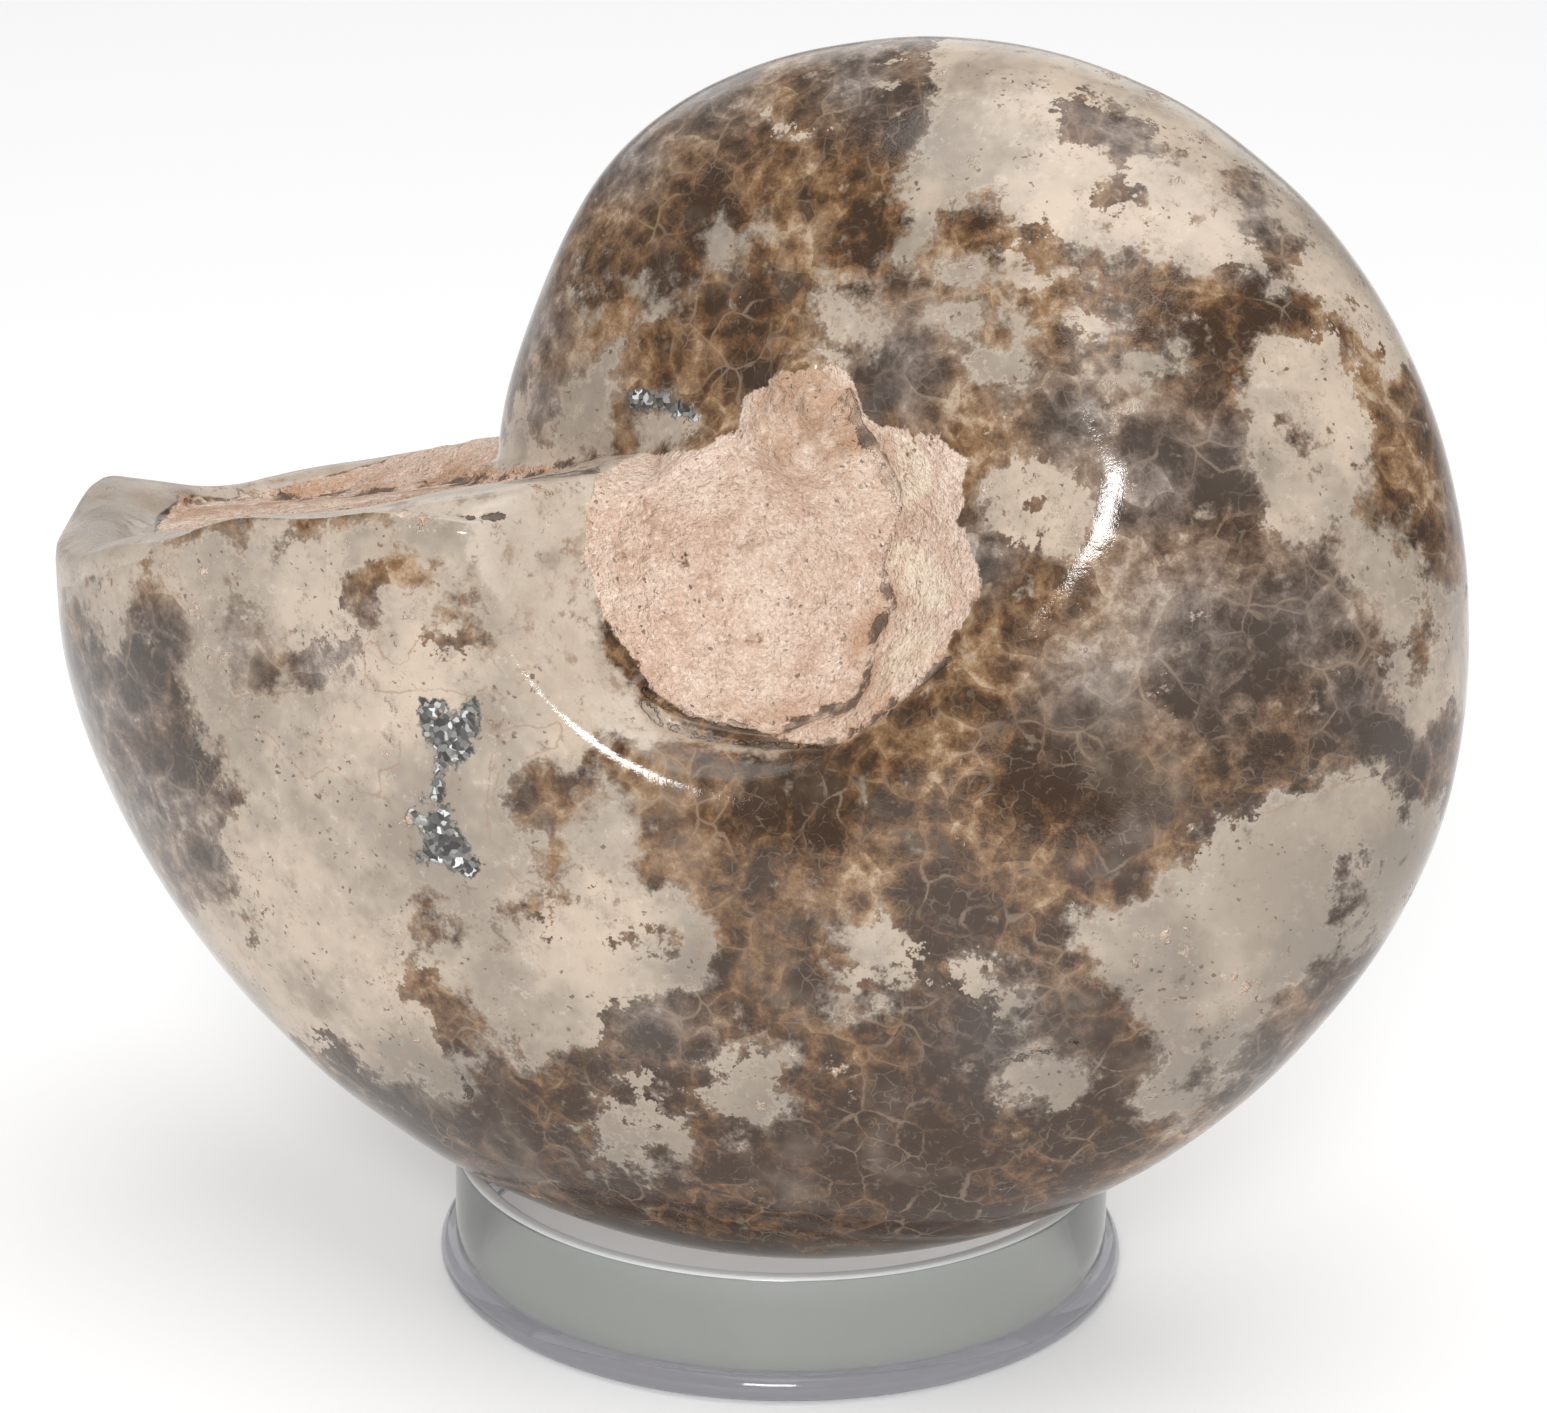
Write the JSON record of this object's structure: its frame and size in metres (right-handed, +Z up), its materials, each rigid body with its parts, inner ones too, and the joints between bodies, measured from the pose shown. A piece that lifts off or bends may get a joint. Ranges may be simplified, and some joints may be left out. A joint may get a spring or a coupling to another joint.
{
  "type": "fossil ammonite on a ring stand",
  "caption": "Polished coiled ammonite fossil with a cut open end and rough sediment in its hollow, standing upright in a clear plastic ring.",
  "frame": {"origin": "on the floor, under the middle of the bounding box of the fossil and its stand", "axes": "+Z up, -Y towards the side of the coil that shows its open hollow, X along the coil's width with the cut open end at -X"},
  "size_m": [0.0996, 0.0654, 0.0912],
  "materials": {
    "polished_stone": "polished brown calcite and cream limestone, with matte sediment in the hollows",
    "clear_plastic": "clear and glossy"
  },
  "bodies": {
    "root": {"ammonite": "polished_stone", "ring_stand": "clear_plastic"}
  },
  "joints": []
}
